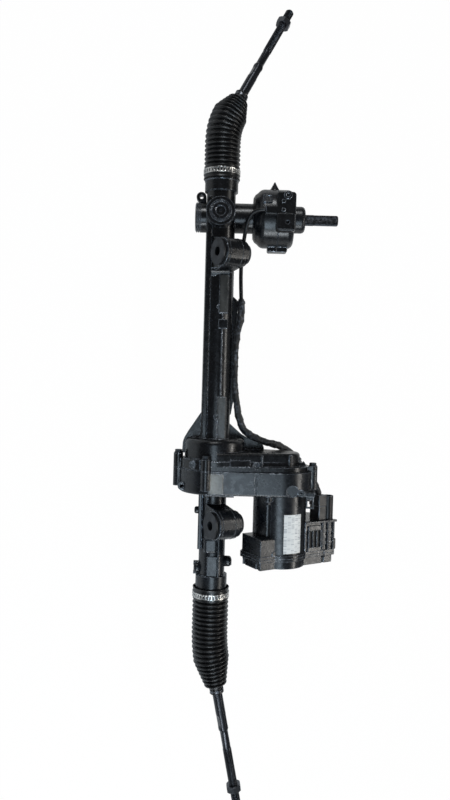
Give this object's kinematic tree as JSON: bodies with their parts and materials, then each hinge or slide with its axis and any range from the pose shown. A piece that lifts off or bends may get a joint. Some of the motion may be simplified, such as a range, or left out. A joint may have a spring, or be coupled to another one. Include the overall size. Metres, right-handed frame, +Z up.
{
  "type": "electric steering rack",
  "caption": "Belt-drive electric power steering rack with bushed mounting eyes, bellows boots, tie rods, torque sensor, motor and control unit.",
  "frame": {"origin": "centre of the bore of the mounting bush beside the pinion", "axes": "+X along the rack from the pinion end to the motor end, +Y along the mounting bushes' bores, +Z up, away from the rack towards the bushes"},
  "size_m": [1.3211, 0.2441, 0.1848],
  "materials": {
    "belt_rubber": "toothed belt rubber",
    "black_plastic": "glass filled black moulding",
    "black_steel": "black phosphate steel",
    "board": "green circuit board",
    "boot_rubber": "black moulded boot",
    "bright_steel": "ground steel",
    "bush_rubber": "black bush rubber",
    "cast_black": "rough black coated die casting",
    "clamp_steel": "bright stainless band",
    "copper": "copper windings and iron",
    "grey_steel": "dull grey steel",
    "label": "plain white foil",
    "nylon": "natural nylon"
  },
  "bodies": {
    "housing": {"boot_clamps": "clamp_steel", "drive_belt": "belt_rubber", "ecu_board": "board", "ecu_cover": "cast_black", "ecu_housing": "cast_black", "ecu_screws": "black_steel", "gear_housing": "cast_black", "harness_plug": "black_plastic", "harness_sleeve": "black_plastic", "housing_bolts": "black_steel", "housing_gasket": "black_steel", "housing_plugs": "grey_steel", "motor_bearings": "bright_steel", "motor_can": "cast_black", "motor_screws": "black_steel", "motor_side_boot": "boot_rubber", "motor_side_bush_rubber": "bush_rubber", "motor_side_bush_shell": "grey_steel", "motor_side_bush_sleeve": "black_steel", "motor_stator": "copper", "nut_bearing": "bright_steel", "pinion_bearings": "bright_steel", "pinion_end_cap": "cast_black", "pinion_side_boot": "boot_rubber", "pinion_side_bush_rubber": "bush_rubber", "pinion_side_bush_shell": "grey_steel", "pinion_side_bush_sleeve": "black_steel", "power_connector": "black_plastic", "rack_bush": "nylon", "rack_housing": "cast_black", "rating_label": "label", "sensor_cable": "black_plastic", "sensor_collar": "black_plastic", "sensor_cover": "cast_black", "sensor_housing": "cast_black", "sensor_module": "black_plastic", "signal_connector": "black_plastic", "yoke": "grey_steel", "yoke_plug": "black_steel", "yoke_spring": "bright_steel"},
    "rotor": {"rotor": "grey_steel", "motor_pulley": "grey_steel"},
    "ball_nut": {"ball_nut": "bright_steel", "nut_balls": "bright_steel", "nut_pulley": "grey_steel"},
    "rack": {"rack_bar": "bright_steel", "pinion_side_socket": "black_steel", "motor_side_socket": "black_steel"},
    "pinion": {"pinion": "bright_steel", "torsion_bar": "bright_steel"},
    "input_shaft": {"input_shaft": "grey_steel", "magnet_ring": "grey_steel"},
    "pinion_side_seat": {"pinion_side_ball_seat": "nylon"},
    "pinion_side_rod": {"pinion_side_tie_rod": "black_steel", "pinion_side_jam_nut": "black_steel", "pinion_side_boot_clip": "grey_steel"},
    "motor_side_seat": {"motor_side_ball_seat": "nylon"},
    "motor_side_rod": {"motor_side_tie_rod": "black_steel", "motor_side_jam_nut": "black_steel", "motor_side_boot_clip": "grey_steel"}
  },
  "joints": [
    {"name": "motor_turn", "type": "hinge", "parent": "housing", "child": "rotor", "pos_m": [0.4, 0.09329, 0.01388], "axis": [1, 0, 0], "range_deg": [-10522.48, 10522.48]},
    {"name": "nut_turn", "type": "hinge", "parent": "housing", "child": "ball_nut", "pos_m": [0.32, 0.005, -0.045], "axis": [1, 0, 0], "range_deg": [-3857.14, 3857.14]},
    {"name": "rack_slide", "type": "slide", "parent": "housing", "child": "rack", "axis": [1, 0, 0], "range_m": [-0.0751, 0.0751], "deforming": ["pinion_side_boot", "motor_side_boot"]},
    {"name": "pinion_turn", "type": "hinge", "parent": "housing", "child": "pinion", "pos_m": [-0.065, 0.01389, -0.05979], "axis": [0, 0.8572, 0.515], "range_deg": [-541, 541]},
    {"name": "input_twist", "type": "hinge", "parent": "pinion", "child": "input_shaft", "pos_m": [-0.065, 0.08246, -0.01859], "axis": [0, 0.8572, 0.515], "range_deg": [-4.5, 4.5], "stiffness_Nm_per_rad": 143},
    {"name": "pinion_side_swing", "type": "hinge", "parent": "rack", "child": "pinion_side_seat", "pos_m": [-0.207, 0.005, -0.045], "axis": [0, 0, 1], "range_deg": [-0.9, 61.1]},
    {"name": "pinion_side_dip", "type": "hinge", "parent": "pinion_side_seat", "child": "pinion_side_rod", "pos_m": [-0.207, 0.005, -0.045], "axis": [-0.509, -0.8607, 0], "range_deg": [-16, 12]},
    {"name": "motor_side_swing", "type": "hinge", "parent": "rack", "child": "motor_side_seat", "pos_m": [0.625, 0.005, -0.045], "axis": [0, 0, 1], "range_deg": [-42, 19]},
    {"name": "motor_side_dip", "type": "hinge", "parent": "motor_side_seat", "child": "motor_side_rod", "pos_m": [0.625, 0.005, -0.045], "axis": [-0.2028, 0.9792, 0], "range_deg": [-12, 16]}
  ],
  "couplings": [
    {"joint": "motor_turn", "follows": "nut_turn", "ratio": 2.7273},
    {"joint": "rack_slide", "follows": "nut_turn", "m_per_rad": -0.0011141},
    {"joint": "pinion_turn", "follows": "nut_turn", "ratio": -0.14}
  ]
}
